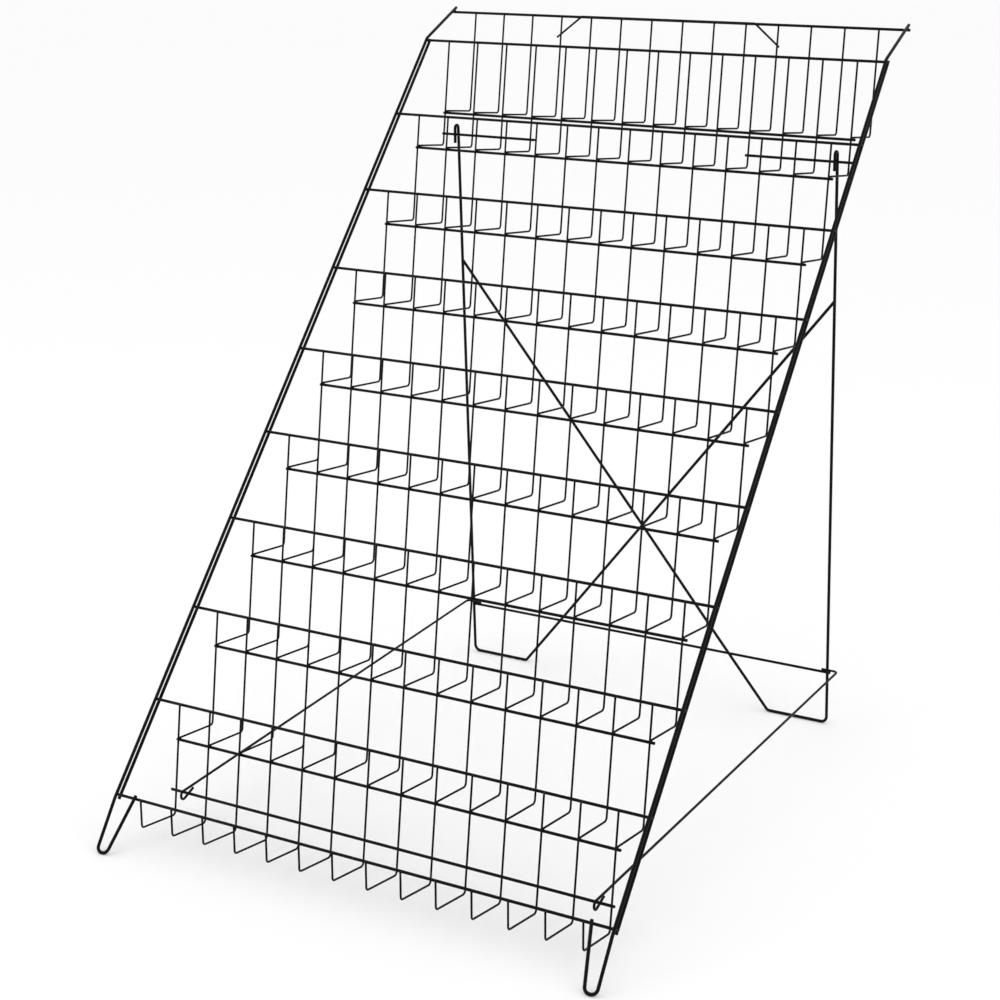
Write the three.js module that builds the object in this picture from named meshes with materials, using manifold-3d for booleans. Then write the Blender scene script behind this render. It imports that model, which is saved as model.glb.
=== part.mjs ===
// Tiered wire newspaper rack: ten leaning pockets between two side rails, on a folding rear leg.
// Millimetres, +Z up, the reader stands on the -Y side, the rack is symmetrical about X = 0.
import * as THREE from "three";
import { mergeVertices } from "three/addons/utils/BufferGeometryUtils.js";
import Module from "manifold-3d";

const wasm = await Module();
wasm.setup();

// Wire diameters
const RAIL_D = 4.5;
const LEG_D = 4.5;
const ROD_D = 4.0;
const ARM_D = 3.5;
const SIGN_D = 3.0;
const GRID_D = 2.8;
const GAP = 0.3;
const SINK = 0.45;

// Layout
const PITCH = 50.8;
const COLUMNS = 14;
const TIERS = 10;
const RAIL_X = 371;
const ROD_END_X = 373;
const SHELF_ROD_X = 335.5;
const SHIFT_Y = 379.19;
const STEP_Y = -88.2;
const STEP_Z = -104;
const LIP_Y = SHIFT_Y;
const LIP_Z = 999.4;
const TOP_Y = 80.4 + SHIFT_Y;
const TOP_Z = 1037.5;
const LEAN = THREE.MathUtils.degToRad(7.5);
const BACK_DROP = 158;
const TOP_DROP = 151.7;
const LIP_DROP = 48.5;
const TOP_LIP_DROP = 108.7;
const GRID_BEND = 5;

// A point in the side view, at a given X
const at = (x, y, z) => new THREE.Vector3(x, y, z);
const down = at(0, -Math.sin(LEAN), -Math.cos(LEAN));
const front = at(0, -Math.cos(LEAN), Math.sin(LEAN));
const slope = at(0, STEP_Y, STEP_Z).normalize();
const slopeFront = at(0, slope.z, -slope.y);
const AXIS_X = at(1, 0, 0);
const AXIS_Z = at(0, 0, 1);
const go = (p, ...moves) => moves.reduce((q, [v, s]) => q.addScaledVector(v, s), p.clone());
const onX = (p, x) => at(x, p.y, p.z);

// Corner list to polyline: each entry is a point, or [point, bend radius, chords]
function bent(corners) {
  const list = corners.map((c) => (Array.isArray(c) ? c : [c, 0, 0]));
  const out = [];
  list.forEach(([p, radius, chords], i) => {
    if (!radius) {
      out.push(p.clone());
      return;
    }
    const a = list[i - 1][0].clone().sub(p).normalize();
    const b = list[i + 1][0].clone().sub(p).normalize();
    const half = a.angleTo(b) / 2;
    const centre = go(p, [a.clone().add(b).normalize(), radius / Math.sin(half)]);
    const out0 = go(p, [a, radius / Math.tan(half)]).sub(centre);
    const along = a.clone().multiplyScalar(-radius);
    for (let k = 0; k <= chords; k += 1) {
      const turn = ((Math.PI - 2 * half) * k) / chords;
      out.push(go(centre, [out0, Math.cos(turn)], [along, Math.sin(turn)]));
    }
  });
  return out.filter((p, i) => i === 0 || p.distanceTo(out[i - 1]) > 1e-3);
}

// The line a wire is swept along. Its section keeps its roll, and corners are mitred.
class WirePath extends THREE.Curve {
  constructor(points, side) {
    super();
    this.points = points;
    this.runs = points.slice(1).map((p, i) => p.clone().sub(points[i]).normalize());
    this.sides = [side.clone().projectOnPlane(this.runs[0]).normalize()];
    for (let i = 1; i < this.runs.length; i += 1) {
      const turn = new THREE.Quaternion().setFromUnitVectors(this.runs[i - 1], this.runs[i]);
      this.sides.push(this.sides[i - 1].clone().applyQuaternion(turn));
    }
  }

  // Roll that makes a flat of the section face `dir` on one run
  rollFor(run, dir) {
    const across = this.runs[run].clone().cross(this.sides[run]);
    return Math.atan2(dir.dot(across), dir.dot(this.sides[run]));
  }

  getSpacedPoints() {
    return this.points;
  }

  computeFrenetFrames() {
    const frames = { tangents: [], normals: [], binormals: [] };
    this.points.forEach((p, i) => {
      const run = this.runs[Math.max(i - 1, 0)];
      const next = this.runs[Math.min(i, this.runs.length - 1)];
      const mitre = run.clone().add(next).normalize();
      const side = this.sides[Math.max(i - 1, 0)];
      const across = run.clone().cross(side);
      const onto = (v) => go(v, [run, -v.dot(mitre) / run.dot(mitre)]);
      frames.tangents.push(mitre);
      frames.normals.push(onto(side));
      frames.binormals.push(onto(across));
    });
    return frames;
  }
}

// A round wire as a many-sided bar along a path
function wire(path, diameter, flats = 8, roll = 0) {
  const section = [];
  for (let k = 0; k < flats; k += 1) {
    const turn = roll + ((k + 0.5) * 2 * Math.PI) / flats;
    section.push(new THREE.Vector2(Math.cos(turn), Math.sin(turn)).multiplyScalar(diameter / 2));
  }
  const shape = new THREE.Shape(section);
  const steps = path.points.length - 1;
  const swept = new THREE.ExtrudeGeometry(shape, { steps, extrudePath: path, curveSegments: 1 });
  swept.deleteAttribute("uv");
  swept.deleteAttribute("normal");
  return mergeVertices(swept, 1e-4);
}

function toManifold(geometry) {
  const vertProperties = new Float32Array(geometry.attributes.position.array);
  const triVerts = new Uint32Array(geometry.index.array);
  return new wasm.Manifold(new wasm.Mesh({ numProp: 3, vertProperties, triVerts }));
}

// Welds several wires into one solid
function welded(wires) {
  const mesh = wires.map(toManifold).reduce((a, b) => a.add(b)).getMesh();
  const geometry = new THREE.BufferGeometry();
  geometry.setAttribute("position", new THREE.BufferAttribute(mesh.vertProperties, 3));
  geometry.setIndex(new THREE.BufferAttribute(mesh.triVerts, 1));
  return geometry;
}

const group = new THREE.Group();
const black = new THREE.MeshStandardMaterial({ color: 0x141416, roughness: 0.45, metalness: 0.2 });

function add(name, geometry) {
  const flat = geometry.toNonIndexed();
  flat.computeVertexNormals();
  const mesh = new THREE.Mesh(flat, black);
  mesh.name = name;
  group.add(mesh);
}

const straight = (a, b, diameter) => wire(new WirePath([a, b], AXIS_Z), diameter);
const columnX = (i) => (i - (COLUMNS - 1) / 2) * PITCH;

// Where each pocket's front rods run
const lip = (n) => at(0, LIP_Y + STEP_Y * (n - 1), LIP_Z + STEP_Z * (n - 1));
const top = at(0, TOP_Y, TOP_Z);
const hung = (n) => (n === 1 ? top : lip(n - 1));
const drop = (n) => (n === 1 ? TOP_DROP : BACK_DROP);
const shelfRod = (n) => go(lip(n), [down, n === 1 ? TOP_LIP_DROP : LIP_DROP]);
const face = ROD_D / 2 + GRID_D / 2 + GAP;
const rest = ROD_D / 2 + GRID_D / 2 - SINK;

// Pockets 1 to 9: wires hang in front of the rod above, turn forward and lie on a shelf rod
for (let n = 1; n < TIERS; n += 1) {
  const head = go(hung(n), [front, face], [down, -1.5]);
  const heel = go(hung(n), [front, face], [down, drop(n)]);
  const toe = go(shelfRod(n), [down, -rest], [front, ROD_D / 2]);
  const wires = [straight(onX(shelfRod(n), -SHELF_ROD_X), onX(shelfRod(n), SHELF_ROD_X), ROD_D)];
  for (let i = 0; i < COLUMNS; i += 1) {
    const [a, b, c] = [head, heel, toe].map((p) => onX(p, columnX(i)));
    wires.push(wire(new WirePath(bent([a, [b, GRID_BEND, 2], c]), AXIS_X), GRID_D, 6));
  }
  add(`tier_${String(n).padStart(2, "0")}`, welded(wires));
}

// Pocket 10: its wires turn up again in front of the last lip, and carry the cross wire of the arms
const BASE_DROP = 152.2;
const TOE_Z = 26.5;
const TOE_RISE = 38.4;
const CROSS_Z = 52.1;
const CROSS_X = 336;
const baseHead = go(lip(9), [front, face], [down, -1.5]);
const baseHeel = go(lip(9), [front, face], [down, BASE_DROP]);
const baseToe = at(0, lip(TIERS).y - face, TOE_Z);
const baseTip = go(baseToe, [AXIS_Z, TOE_RISE]);
const toCross = (baseHead.z - CROSS_Z) / -down.z;
const cross = go(baseHead, [down, toCross], [front, rest]);
const baseWires = [straight(onX(cross, -CROSS_X), onX(cross, CROSS_X), ROD_D)];
for (let i = 0; i < COLUMNS; i += 1) {
  const [a, b, c, d] = [baseHead, baseHeel, baseToe, baseTip].map((p) => onX(p, columnX(i)));
  const corners = [a, [b, GRID_BEND, 2], [c, GRID_BEND, 2], d];
  baseWires.push(wire(new WirePath(bent(corners), AXIS_X), GRID_D, 6));
}
add("tier_10", welded(baseWires));

// Lips: straight rods from rail to rail
for (let n = 1; n <= TIERS; n += 1) {
  const rod = straight(onX(lip(n), -ROD_END_X), onX(lip(n), ROD_END_X), ROD_D);
  add(`lip_${String(n).padStart(2, "0")}`, rod);
}
add("top_wire", straight(at(-375, TOP_Y, TOP_Z), at(375, TOP_Y, TOP_Z), ROD_D));

// Side rails: a pair of wires with the lips between them. The front one is also the front foot.
const beside = RAIL_D / 2 + ROD_D / 2 + GAP;
const brow = top.clone().sub(lip(1)).normalize();
const browUp = at(0, -brow.z, brow.y);
const browTip = go(top, [browUp, beside], [brow, 7]);
const browBend = go(lip(1), [slopeFront, beside], [slope, -0.9]);
const FOOT_LEAN = THREE.MathUtils.degToRad(34.4);
const FOOT_TURN = 8;
const FOOT_IN_X = 340;
const shin = at(0, -Math.sin(FOOT_LEAN), -Math.cos(FOOT_LEAN));
const knee = go(lip(10), [slopeFront, beside], [slope, 6]);
const flatRadius = (RAIL_D / 2) * Math.cos(Math.PI / 8);
const sole = go(knee, [shin, (flatRadius - knee.z) / shin.z]);
const footTip = go(lip(10), [slopeFront, beside], [slope, -4]);
const RAIL_SIDES = { left: -1, right: 1 };
for (const [name, s] of Object.entries(RAIL_SIDES)) {
  const corners = [
    onX(browTip, s * RAIL_X),
    [onX(browBend, s * RAIL_X), 12, 2],
    onX(knee, s * RAIL_X),
    [onX(sole, s * RAIL_X), FOOT_TURN - 1.5, 3],
    [onX(sole, s * (RAIL_X - 2 * FOOT_TURN)), FOOT_TURN - 1.5, 3],
    onX(footTip, s * FOOT_IN_X),
  ];
  const path = new WirePath(bent(corners), at(s, 0, 0));
  const solePart = path.runs.findIndex((r) => r.x * s < -0.999);
  const roll = path.rollFor(solePart, at(0, 0, -1));
  add(`rail_front_${name}`, wire(path, RAIL_D, 8, roll));
  const backTop = go(lip(1), [slopeFront, -beside], [slope, -5]);
  const backEnd = go(lip(10), [slopeFront, -beside], [slope, 5]);
  add(`rail_back_${name}`, straight(onX(backTop, s * RAIL_X), onX(backEnd, s * RAIL_X), RAIL_D));
}

// Sign holder: lies in front of the top wire, its two ends splay down
const SIGN_X = 142;
const SIGN_TIP_X = 182.4;
const SIGN_FALL = 32.5;
const signLine = go(top, [front, face + GRID_D / 2 + SIGN_D / 2 + GAP], [down, -0.5]);
const signTip = go(signLine, [down, SIGN_FALL]);
const signCorners = [
  onX(signTip, -SIGN_TIP_X),
  [onX(signLine, -SIGN_X), 5, 2],
  [onX(signLine, SIGN_X), 5, 2],
  onX(signTip, SIGN_TIP_X),
];
add("sign_holder", wire(new WirePath(bent(signCorners), front), SIGN_D));

// Hinge rods on the back of pocket 2
const HINGE_DROP = 140.45;
const hinge = go(lip(1), [down, HINGE_DROP]);
add("hinge_rod_left", straight(onX(hinge, -335), onX(hinge, -171.8), ROD_D));
add("hinge_rod_right", straight(onX(hinge, 171.8), onX(hinge, 335), ROD_D));

// Rear leg: each wire hooks over a hinge rod, runs to the floor, along it, and up to the other side
const LEG_X = 309.6;
const HOOK_HALF = LEG_D / 2 + ROD_D / 2 + GAP;
const HOOK_TOP = 14.3;
const HOOK_END = 12.6;
const HEEL_Y = 27.8 + SHIFT_Y;
const LEG_INNER_X = 213;
const BRACE_DROP = 202.4;
const BRACE_PAST = 3;
const BRACE_LOW = 110;
const legSole = (LEG_D / 2) * Math.cos(Math.PI / 8);
const legTop = go(hinge, [at(0, 1, 0), HOOK_HALF], [AXIS_Z, HOOK_TOP]);
const legFoot = at(0, HEEL_Y, legSole);
const stride = legFoot.clone().sub(legTop).normalize();
const legBack = at(0, -stride.z, stride.y);
const onLeg = (x, z, back) => onX(go(legTop, [stride, (z - legTop.z) / stride.z], [legBack, back]), x);
const braceEnd = hinge.z - BRACE_DROP;
const braceRise = (braceEnd - legSole) / (LEG_INNER_X + LEG_X);
const braceZ = (x) => legSole + (LEG_INNER_X - x) * braceRise;
for (const [name, s] of Object.entries(RAIL_SIDES)) {
  const apart = LEG_D + GAP;
  const lowX = LEG_INNER_X - (BRACE_LOW - legSole) / braceRise;
  const endX = -LEG_X - BRACE_PAST;
  const hookFront = go(hinge, [at(0, 1, 0), -HOOK_HALF]);
  const corners = [
    at(s * LEG_X, hookFront.y, hinge.z - HOOK_END),
    [at(s * LEG_X, hookFront.y, hinge.z + HOOK_TOP), HOOK_HALF, 3],
    [onX(legTop, s * LEG_X), HOOK_HALF, 3],
    [onX(legFoot, s * LEG_X), 9, 3],
    [onX(legFoot, s * LEG_INNER_X), 6, 2],
    onLeg(s * lowX, braceZ(lowX), 0),
    onLeg(0, braceZ(0), (s * apart) / 2),
    onLeg(s * endX, braceZ(endX), s * apart),
  ];
  const path = new WirePath(bent(corners), AXIS_X);
  const footPart = path.runs.findIndex((r) => Math.abs(r.x) > 0.9999);
  const roll = path.rollFor(footPart, at(0, 0, -1));
  add(`leg_wire_${name}`, wire(path, LEG_D, 8, roll));
}

// Crossbar on the back of the uprights
const BAR_Z = 82;
const barLine = onLeg(0, BAR_Z, LEG_D / 2 + ROD_D / 2 + GAP);
add("leg_crossbar", straight(onX(barLine, -LEG_X - 3), onX(barLine, LEG_X + 3), ROD_D));

// Spreader arms: an eye round the cross wire, a long run back, and an end hooked behind the upright
const ARM_FRONT_X = 312.4;
const ARM_REAR_X = 324;
const ARM_INSIDE = 11;
const armLift = ROD_D / 2 + ARM_D / 2 + GAP;
const armRear = onLeg(0, BAR_Z + armLift, LEG_D / 2 + ARM_D / 2 + GAP);
for (const [name, s] of Object.entries(RAIL_SIDES)) {
  const eye = (back, up) => at(s * ARM_FRONT_X, cross.y + back, cross.z + up);
  const corners = [
    eye(17, 0.6),
    [eye(-9, -10.4), 5.5, 3],
    [eye(-9, armLift), 5.5, 3],
    eye(0, armLift),
    [onX(armRear, s * ARM_REAR_X), 6, 3],
    onX(armRear, s * (LEG_X - ARM_INSIDE)),
  ];
  add(`spreader_arm_${name}`, wire(new WirePath(bent(corners), at(s, 0, 0)), ARM_D));
}

export default group;
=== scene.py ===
import math
import bmesh
import bpy
from mathutils import Matrix, Vector


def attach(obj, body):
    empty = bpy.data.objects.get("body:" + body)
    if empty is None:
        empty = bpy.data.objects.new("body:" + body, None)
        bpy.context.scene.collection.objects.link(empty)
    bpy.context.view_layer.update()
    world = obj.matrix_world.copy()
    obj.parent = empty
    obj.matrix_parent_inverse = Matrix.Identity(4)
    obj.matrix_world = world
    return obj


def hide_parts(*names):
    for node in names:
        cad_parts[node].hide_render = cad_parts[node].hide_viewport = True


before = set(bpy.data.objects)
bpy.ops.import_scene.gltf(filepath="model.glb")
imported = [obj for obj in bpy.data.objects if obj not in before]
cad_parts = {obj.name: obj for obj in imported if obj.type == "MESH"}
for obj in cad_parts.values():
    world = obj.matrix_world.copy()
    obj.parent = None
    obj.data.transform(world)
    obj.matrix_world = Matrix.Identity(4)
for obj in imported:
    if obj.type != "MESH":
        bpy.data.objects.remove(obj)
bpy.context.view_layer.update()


# Side rails. On each side a pair of 4.5 mm wires clamps the ends of the lips. The front wire bends
# back over the top wire, and at the bottom it turns into the front foot and comes back up to the lip.
def point(x, y, z):
    return Vector((x, y, z))


def on_x(p, x):
    # The same point of the side view, at another place across the rack.
    return point(x, p.y, p.z)


def bend_round(corners, chords=7):
    # A corner is a point, or a point and a bend radius.
    corners = [c if isinstance(c, tuple) else (c, 0.0) for c in corners]
    line = []
    for i, (p, radius) in enumerate(corners):
        if radius == 0.0:
            line.append(p.copy())
            continue
        back = (corners[i - 1][0] - p).normalized()
        ahead = (corners[i + 1][0] - p).normalized()
        half = back.angle(ahead) / 2
        centre = p + (back + ahead).normalized() * (radius / math.sin(half))
        start = p + back * (radius / math.tan(half)) - centre
        for k in range(chords + 1):
            turn = (math.pi - 2 * half) * k / chords
            line.append(centre + start * math.cos(turn) - back * (radius * math.sin(turn)))
    kept = line[:1]
    for p in line[1:]:
        if (p - kept[-1]).length > 1e-5:
            kept.append(p)
    return kept


def sweep_wire(bm, line, diameter, flats=14):
    # Sweeps a round section along the line with mitred corners and slightly broken end edges.
    broken_length = 0.12 * diameter
    broken_width = 0.8
    runs = [(b - a).normalized() for a, b in zip(line, line[1:])]
    side = runs[0].orthogonal().normalized()
    across = runs[0].cross(side)
    rings = []
    last = len(line) - 1
    for i, p in enumerate(line):
        run = runs[max(i - 1, 0)]
        ahead = runs[min(i, last - 1)]
        mitre = (run + ahead).normalized()
        around = []
        for k in range(flats):
            a = 2 * math.pi * k / flats
            r = (side * math.cos(a) + across * math.sin(a)) * (diameter / 2)
            around.append(r - run * (r.dot(mitre) / run.dot(mitre)))
        if i == 0:
            rings.append([bm.verts.new(p + v * broken_width) for v in around])
            rings.append([bm.verts.new(p + run * broken_length + v) for v in around])
        elif i == last:
            rings.append([bm.verts.new(p - run * broken_length + v) for v in around])
            rings.append([bm.verts.new(p + v * broken_width) for v in around])
        else:
            rings.append([bm.verts.new(p + v) for v in around])
        turn = run.rotation_difference(ahead)
        side = turn @ side
        across = turn @ across
    for low, high in zip(rings, rings[1:]):
        for k in range(flats):
            m = (k + 1) % flats
            bm.faces.new((low[k], low[m], high[m], high[k]))
    bm.faces.new(list(reversed(rings[0])))
    bm.faces.new(rings[-1])


def weld_bead(bm, where, radius, stretch=(1.0, 1.0, 1.0)):
    # A small smooth blob of weld metal sunk into both wires.
    shape = Matrix.Translation(where) @ Matrix.Diagonal((*stretch, 1.0))
    bmesh.ops.create_icosphere(bm, subdivisions=2, radius=radius, matrix=shape)


def powder_coated_wire():
    # Semi-gloss black powder coat: very fine orange peel, dull patches and a little settled dust.
    coat = bpy.data.materials.new("black_powder_coat")
    coat.use_nodes = True
    nodes = coat.node_tree.nodes
    link = coat.node_tree.links.new
    shader = nodes["Principled BSDF"]
    shader.inputs["IOR"].default_value = 1.45
    shader.inputs["Specular IOR Level"].default_value = 0.11
    place = nodes.new("ShaderNodeTexCoord")
    patches = nodes.new("ShaderNodeTexNoise")
    patches.inputs["Scale"].default_value = 38.0
    patches.inputs["Detail"].default_value = 5.0
    link(place.outputs["Object"], patches.inputs["Vector"])
    gloss = nodes.new("ShaderNodeMapRange")
    gloss.inputs["To Min"].default_value = 0.34
    gloss.inputs["To Max"].default_value = 0.46
    link(patches.outputs["Fac"], gloss.inputs["Value"])
    link(gloss.outputs["Result"], shader.inputs["Roughness"])
    facing = nodes.new("ShaderNodeNewGeometry")
    upward = nodes.new("ShaderNodeSeparateXYZ")
    link(facing.outputs["Normal"], upward.inputs["Vector"])
    dust = nodes.new("ShaderNodeMapRange")
    dust.inputs["From Min"].default_value = 0.55
    dust.inputs["From Max"].default_value = 1.0
    dust.inputs["To Max"].default_value = 0.04
    link(upward.outputs["Z"], dust.inputs["Value"])
    settled = nodes.new("ShaderNodeMath")
    settled.operation = "MULTIPLY"
    link(dust.outputs["Result"], settled.inputs[0])
    link(patches.outputs["Fac"], settled.inputs[1])
    colour = nodes.new("ShaderNodeMix")
    colour.data_type = "RGBA"
    bare_coat = (0.0016, 0.0016, 0.0018, 1.0)
    dusty_coat = (0.075, 0.073, 0.070, 1.0)
    colour.inputs[6].default_value = bare_coat
    colour.inputs[7].default_value = dusty_coat
    link(settled.outputs["Value"], colour.inputs["Factor"])
    link(colour.outputs[2], shader.inputs["Base Color"])
    grain = nodes.new("ShaderNodeTexNoise")
    grain.inputs["Scale"].default_value = 1400.0
    grain.inputs["Detail"].default_value = 3.0
    link(place.outputs["Object"], grain.inputs["Vector"])
    peel = nodes.new("ShaderNodeBump")
    peel.inputs["Strength"].default_value = 0.22
    peel.inputs["Distance"].default_value = 0.00012
    link(grain.outputs["Fac"], peel.inputs["Height"])
    link(peel.outputs["Normal"], shader.inputs["Normal"])
    return coat


coat = powder_coated_wire()


def finish_piece(name, bm, body, *cad_nodes):
    # Turns the swept wires and beads into one smooth-shaded piece of the rack.
    bmesh.ops.recalc_face_normals(bm, faces=bm.faces)
    mesh = bpy.data.meshes.new(name)
    bm.to_mesh(mesh)
    bm.free()
    for poly in mesh.polygons:
        poly.use_smooth = len(poly.vertices) <= 4
    mesh.materials.append(coat)
    piece = bpy.data.objects.new(name, mesh)
    bpy.context.scene.collection.objects.link(piece)
    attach(piece, body)
    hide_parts(*cad_nodes)
    return piece


# The first lip's place, the step from one lip to the next, and the slope that the rails follow
first_lip_y = 0.37919
first_lip_z = 0.9994
tier_count = 10
tier_step = point(0, -0.0882, -0.1040)
slope = tier_step.normalized()
slope_front = point(0, slope.z, -slope.y)
top_centre = point(0, 0.0804 + first_lip_y, 1.0375)


def lip_centre(n):
    return point(0, first_lip_y, first_lip_z) + tier_step * (n - 1)


rail_d = 0.0045
rod_d = 0.0040
gap = 0.0003
rail_x = 0.371
rail_past_lip = 0.005
foot_width = 0.016
foot_bend = 0.0078
foot_end_x = 0.340
foot_lean = math.radians(34.4)
left_and_right = {"left": -1, "right": 1}
beside = rail_d / 2 + rod_d / 2 + gap
brow = (top_centre - lip_centre(1)).normalized()
brow_up = point(0, -brow.z, brow.y)
brow_tip = top_centre + brow_up * beside + brow * 0.007
brow_bend = lip_centre(1) + slope_front * beside - slope * 0.0009
shin = point(0, -math.sin(foot_lean), -math.cos(foot_lean))
knee = lip_centre(tier_count) + slope_front * beside + slope * 0.006
sole = knee + shin * ((rail_d / 2 - knee.z) / shin.z)
foot_tip = lip_centre(tier_count) + slope_front * beside - slope * 0.004
back_top = lip_centre(1) - slope_front * beside - slope * rail_past_lip
back_end = lip_centre(tier_count) - slope_front * beside + slope * rail_past_lip
rail_bead = 0.0017
rail_bead_stretch = (1.5, 1.0, 1.0)
for name, s in left_and_right.items():
    front_line = bend_round([
        on_x(brow_tip, s * rail_x),
        (on_x(brow_bend, s * rail_x), 0.012),
        (on_x(knee, s * rail_x), 0.030),
        (on_x(sole, s * rail_x), foot_bend),
        (on_x(sole, s * (rail_x - foot_width)), foot_bend),
        on_x(foot_tip, s * foot_end_x),
    ])
    rail = bmesh.new()
    sweep_wire(rail, front_line, rail_d, 18)
    finish_piece(f"front_rail_{name}", rail, "panel", f"rail_front_{name}")
    rail = bmesh.new()
    sweep_wire(rail, [on_x(back_top, s * rail_x), on_x(back_end, s * rail_x)], rail_d, 18)
    for n in range(1, tier_count + 1):
        for side_of in (-1, 1):
            bead_at = lip_centre(n) + slope_front * (side_of * beside * 0.52)
            weld_bead(rail, on_x(bead_at, s * rail_x), rail_bead, rail_bead_stretch)
    weld_bead(rail, on_x(foot_tip + slope * 0.003 - slope_front * 0.002, s * 0.3405), 0.0019)
    finish_piece(f"back_rail_{name}", rail, "panel", f"rail_back_{name}")


# Lips. Ten straight 4 mm rods run from rail to rail, one step lower and further forward each time,
# and the papers lean against them.
lip_end_x = 0.373
for n in range(1, tier_count + 1):
    rod = bmesh.new()
    line = [on_x(lip_centre(n), -lip_end_x), on_x(lip_centre(n), lip_end_x)]
    sweep_wire(rod, line, rod_d, 16)
    finish_piece(f"lip_rod_{n:02d}", rod, "panel", f"lip_{n:02d}")


# Top wire. A straight 4 mm rod ties the two bent rail ends together above the first pocket and is
# welded under them.
top_end_x = 0.3748
top_rod = bmesh.new()
sweep_wire(top_rod, [on_x(top_centre, -top_end_x), on_x(top_centre, top_end_x)], rod_d, 16)
for s in (-1, 1):
    bead_at = top_centre + brow_up * (beside * 0.52)
    weld_bead(top_rod, on_x(bead_at, s * rail_x), rail_bead, rail_bead_stretch)
finish_piece("top_rod", top_rod, "panel", "top_wire")


# Pockets. Fourteen 2.8 mm wires hang from the rod above, turn forward and lie on a 4 mm shelf rod.
# The shelf rod sits behind the next pocket's hanging wires, so both are spot welded together.
lean = math.radians(7.5)
down = point(0, -math.sin(lean), -math.cos(lean))
front = point(0, -math.cos(lean), math.sin(lean))
grid_d = 0.0028
grid_bend = 0.005
wire_pitch = 0.0508
column_x = [(i - 6.5) * wire_pitch for i in range(14)]
face = rod_d / 2 + grid_d / 2 + gap
rest = rod_d / 2 + grid_d / 2 - 0.0003
above_rod = 0.0015
shelf_end_x = 0.3354
lying = (1.35, 1.3, 1.0)


def shelf_rod(n):
    return lip_centre(n) + down * (0.1087 if n == 1 else 0.0485)


def spot_weld(bm, where, x, stretch=(1.35, 1.0, 1.25)):
    weld_bead(bm, on_x(where, x), 0.0013, stretch)


for n in range(1, tier_count):
    hung = top_centre if n == 1 else lip_centre(n - 1)
    drop = 0.1517 if n == 1 else 0.1580
    head = hung + front * face - down * above_rod
    heel = hung + front * face + down * drop
    toe = shelf_rod(n) - down * rest + front * (rod_d / 2)
    grid = bmesh.new()
    rod_line = [on_x(shelf_rod(n), -shelf_end_x), on_x(shelf_rod(n), shelf_end_x)]
    sweep_wire(grid, rod_line, rod_d, 16)
    for x in column_x:
        corners = [on_x(head, x), (on_x(heel, x), grid_bend), on_x(toe, x)]
        sweep_wire(grid, bend_round(corners, 6), grid_d, 12)
        spot_weld(grid, hung + front * (face * 0.60), x)
        spot_weld(grid, shelf_rod(n) - down * (rest * 0.62), x, lying)
        if n > 1:
            spot_weld(grid, shelf_rod(n - 1) + front * (face * 0.60), x)
    finish_piece(f"pocket_grid_{n:02d}", grid, "panel", f"tier_{n:02d}")


# Lowest pocket. Its wires turn up again in front of the last lip, and a 4 mm cross wire welded to
# their inner side carries the two spreader arms.
base_drop = 0.1522
toe_z = 0.0265
toe_rise = 0.0384
cross_z = 0.0521
cross_end_x = 0.3359
base_head = lip_centre(tier_count - 1) + front * face - down * above_rod
base_heel = lip_centre(tier_count - 1) + front * face + down * base_drop
base_toe = point(0, lip_centre(tier_count).y - face, toe_z)
base_tip = base_toe + point(0, 0, toe_rise)
to_cross = (base_head.z - cross_z) / -down.z
cross = base_head + down * to_cross + front * (rod_d / 2 + grid_d / 2 - 0.00045)
grid = bmesh.new()
sweep_wire(grid, [on_x(cross, -cross_end_x), on_x(cross, cross_end_x)], rod_d, 16)
for x in column_x:
    corners = [
        on_x(base_head, x),
        (on_x(base_heel, x), grid_bend),
        (on_x(base_toe, x), grid_bend),
        on_x(base_tip, x),
    ]
    sweep_wire(grid, bend_round(corners, 6), grid_d, 12)
    spot_weld(grid, lip_centre(tier_count - 1) + front * (face * 0.60), x)
    spot_weld(grid, shelf_rod(tier_count - 1) + front * (face * 0.60), x)
    spot_weld(grid, lip_centre(tier_count) + point(0, -0.6 * face, 0), x)
    spot_weld(grid, cross - front * 0.0019, x)
finish_piece("pocket_grid_10", grid, "panel", "tier_10")


# Sign holder. A 3 mm wire lies in front of the top wire, welded to the six middle pocket wires, and
# its two ends splay down as prongs.
sign_d = 0.003
sign_bend_x = 0.142
sign_tip_x = 0.1824
sign_line = top_centre + front * (face + grid_d / 2 + 0.0015 + gap) - down * 0.0005
sign_tip = sign_line + down * 0.0325
sign = bmesh.new()
sign_corners = [
    on_x(sign_tip, -sign_tip_x),
    (on_x(sign_line, -sign_bend_x), 0.005),
    (on_x(sign_line, sign_bend_x), 0.005),
    on_x(sign_tip, sign_tip_x),
]
sweep_wire(sign, bend_round(sign_corners), sign_d, 14)
for x in column_x[4:10]:
    weld_bead(sign, on_x(sign_line - front * 0.0016, x), 0.0012, (1.4, 1.0, 1.2))
finish_piece("sign_wire", sign, "panel", "sign_holder")


# Hinge rods. Two short 4 mm rods are welded on the back of the second pocket; the rear leg hangs
# on them and turns there.
hinge = lip_centre(1) + down * 0.14045
hinge_inner_x = 0.1718
hinge_outer_x = 0.3350
for name, s in left_and_right.items():
    rod = bmesh.new()
    sweep_wire(rod, [on_x(hinge, s * hinge_inner_x), on_x(hinge, s * hinge_outer_x)], rod_d, 16)
    for x in column_x:
        if hinge_inner_x < s * x < hinge_outer_x:
            spot_weld(rod, hinge + front * (face * 0.55), x)
    finish_piece(f"hinge_{name}", rod, "panel", f"hinge_rod_{name}")


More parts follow.
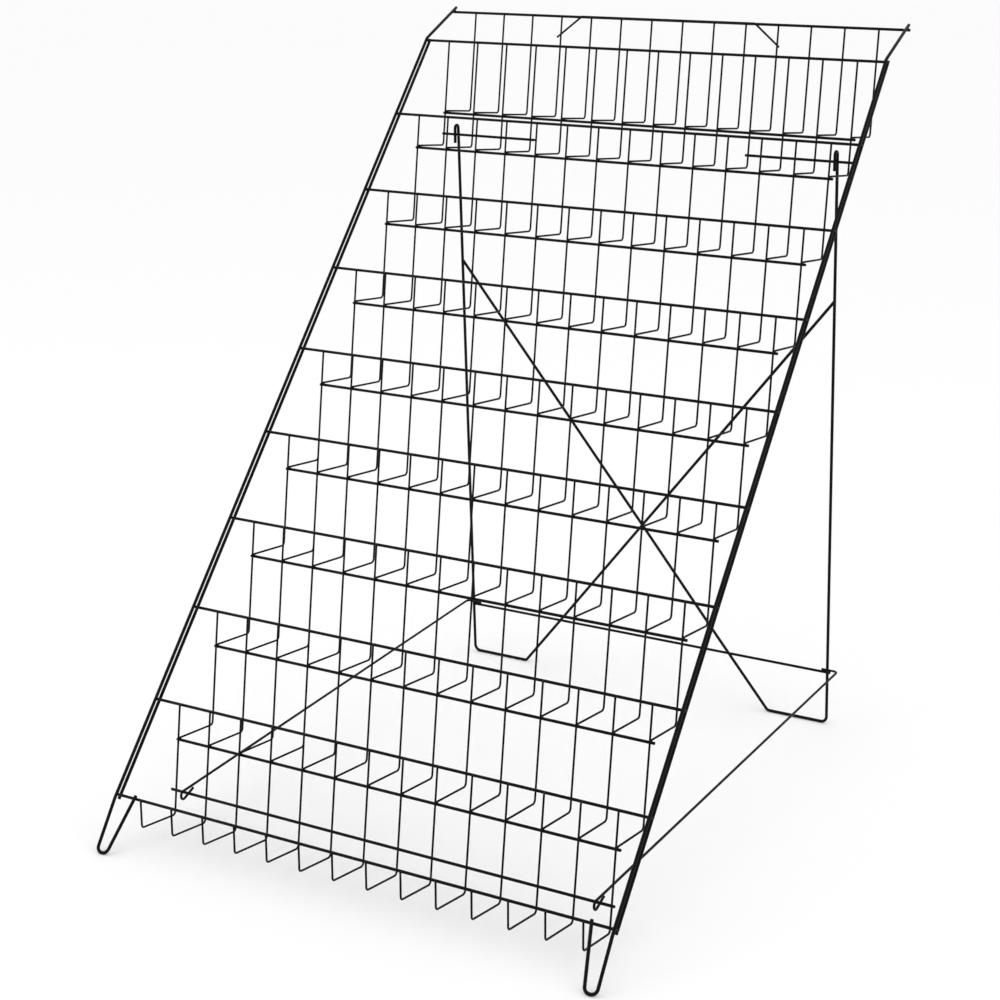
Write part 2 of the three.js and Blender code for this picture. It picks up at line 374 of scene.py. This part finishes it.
# Rear leg. Two mirrored 4.5 mm wires, each hooked over its hinge rod: an upright, a foot run along
# the floor, and a brace up to the other upright. The braces cross one in front of the other.
leg_d = 0.0045
leg_x = 0.3096
inner_x = 0.213
hook_half = leg_d / 2 + rod_d / 2 + gap
hook_rise = 0.0143
hook_end = 0.0126
brace_past = 0.003
leg_top = hinge + point(0, hook_half, hook_rise)
leg_foot = point(0, 0.0278 + first_lip_y, leg_d / 2)
stride = (leg_foot - leg_top).normalized()
leg_back = point(0, -stride.z, stride.y)
brace_end = hinge.z - 0.2024
brace_rise = (brace_end - leg_foot.z) / (inner_x + leg_x)


def on_leg(x, z, back):
    # A point of the leaning leg's own plane, at a height, moved back by a distance.
    p = leg_top + stride * ((z - leg_top.z) / stride.z) + leg_back * back
    return on_x(p, x)


def brace_z(x):
    return leg_foot.z + (inner_x - x) * brace_rise


low_x = inner_x - 0.108 / brace_rise
end_x = -leg_x - brace_past
hook_front = hinge + point(0, -hook_half, 0)
for name, s in left_and_right.items():
    corners = [
        point(s * leg_x, hook_front.y, hinge.z - hook_end),
        (point(s * leg_x, hook_front.y, hinge.z + hook_rise), hook_half),
        (on_x(leg_top, s * leg_x), hook_half),
        (on_x(leg_foot, s * leg_x), 0.009),
        (on_x(leg_foot, s * inner_x), 0.006),
        on_leg(s * low_x, brace_z(low_x), 0),
        on_leg(0, brace_z(0), s * (leg_d + gap) / 2),
        on_leg(s * end_x, brace_z(end_x), s * (leg_d + gap)),
    ]
    leg = bmesh.new()
    sweep_wire(leg, bend_round(corners), leg_d, 18)
    weld_at = on_leg(-s * leg_x, brace_z(-leg_x), s * leg_d / 2)
    weld_bead(leg, weld_at, 0.0022, (1.3, 0.9, 1.5))
    if s > 0:
        weld_bead(leg, on_leg(0, brace_z(0), 0), 0.0020, (1.4, 0.9, 1.4))
    finish_piece(f"leg_{name}", leg, "rear_leg", f"leg_wire_{name}")


# Crossbar. A 4 mm rod welded on the back of both uprights keeps them apart and stops the arms.
# It ends just past the uprights.
bar_z = 0.0820
bar_end_x = leg_x + 0.003
bar_line = on_leg(0, bar_z, leg_d / 2 + rod_d / 2 + gap)
bar = bmesh.new()
sweep_wire(bar, [on_x(bar_line, -bar_end_x), on_x(bar_line, bar_end_x)], rod_d, 16)
for s in (-1, 1):
    weld_bead(bar, on_leg(s * leg_x, bar_z, leg_d / 2), 0.0019, (1.4, 0.9, 1.3))
finish_piece("crossbar", bar, "rear_leg", "leg_crossbar")


# Spreader arms. Each 3.5 mm wire has an eye round the cross wire, runs back beside the upright and
# hooks behind it, on top of the crossbar, which holds the rack open.
arm_d = 0.0035
arm_front_x = 0.3124
arm_rear_x = 0.324
arm_inside = 0.011
eye_bend = 0.0055
arm_lift = rod_d / 2 + arm_d / 2 + gap
arm_rear = on_leg(0, bar_z + arm_lift, leg_d / 2 + arm_d / 2 + gap)
for name, s in left_and_right.items():
    eye = point(s * arm_front_x, cross.y, cross.z)
    corners = [
        eye + point(0, 0.017, 0.0006),
        (eye + point(0, -0.009, -0.0104), eye_bend),
        (eye + point(0, -0.009, arm_lift), eye_bend),
        eye + point(0, 0, arm_lift),
        (on_x(arm_rear, s * arm_rear_x), 0.006),
        on_x(arm_rear, s * (leg_x - arm_inside)),
    ]
    arm = bmesh.new()
    sweep_wire(arm, bend_round(corners), arm_d, 16)
    finish_piece(f"arm_{name}", arm, f"arm_{name}", f"spreader_arm_{name}")


# Floor. A plain white matt sheet, large enough that its far edge fades into the background.
# It isn't part of the rack.
floor_mesh = bpy.data.meshes.new("floor")
edge = 30.0
floor_corners = [(-edge, -edge, 0), (edge, -edge, 0), (edge, edge, 0), (-edge, edge, 0)]
floor_mesh.from_pydata(floor_corners, [], [(0, 1, 2, 3)])
floor = bpy.data.objects.new("floor", floor_mesh)
bpy.context.scene.collection.objects.link(floor)
paper = bpy.data.materials.new("pale_paper")
paper.use_nodes = True
paper_shader = paper.node_tree.nodes["Principled BSDF"]
paper_shader.inputs["Base Color"].default_value = (0.97, 0.97, 0.97, 1.0)
paper_shader.inputs["Roughness"].default_value = 0.9
paper_shader.inputs["Specular IOR Level"].default_value = 0.1
floor_mesh.materials.append(paper)


# Light. A bright even sky does most of the work. A soft lamp over the reader's left shoulder and a
# weaker one on the right give the wires a little shine and the feet faint shadows.
sky = bpy.data.worlds.new("studio")
sky.use_nodes = True
sky.node_tree.nodes["Background"].inputs["Color"].default_value = (1.0, 1.0, 1.0, 1.0)
sky.node_tree.nodes["Background"].inputs["Strength"].default_value = 1.0
bpy.context.scene.world = sky
bpy.context.scene.view_settings.view_transform = "Standard"


def soft_lamp(name, where, size, watts):
    lamp = bpy.data.lights.new(name, "AREA")
    lamp.shape = "SQUARE"
    lamp.size = size
    lamp.energy = watts
    holder = bpy.data.objects.new(name, lamp)
    bpy.context.scene.collection.objects.link(holder)
    holder.location = where
    middle_of_rack = point(0, 0, 0.5)
    holder.rotation_euler = (middle_of_rack - where).to_track_quat("-Z", "Y").to_euler()


soft_lamp("key", point(-1.6, -2.6, 3.2), size=1.6, watts=14)
soft_lamp("fill", point(2.8, -0.6, 2.2), size=2.0, watts=7)


# Camera. A long lens on the reader's right, a little above the top of the rack, looking down on the
# pockets and through them at the leg.
eye_azimuth = math.radians(29.102)
eye_elevation = math.radians(14.390)
eye_roll = math.radians(0.084)
toward_eye = Vector((
    math.sin(eye_azimuth) * math.cos(eye_elevation),
    -math.cos(eye_azimuth) * math.cos(eye_elevation),
    math.sin(eye_elevation),
))
camera_data = bpy.data.cameras.new("camera")
camera_data.sensor_width = 36.0
camera_data.lens = 74.70
camera_data.shift_x = -0.040
camera_data.shift_y = -0.100
camera_data.clip_end = 200.0
camera = bpy.data.objects.new("camera", camera_data)
bpy.context.scene.collection.objects.link(camera)
turned = toward_eye.to_track_quat("Z", "Y").to_matrix().to_4x4() @ Matrix.Rotation(eye_roll, 4, "Z")
camera.matrix_world = Matrix.Translation((1.3533, -2.3623, 1.2572)) @ turned
bpy.context.scene.camera = camera
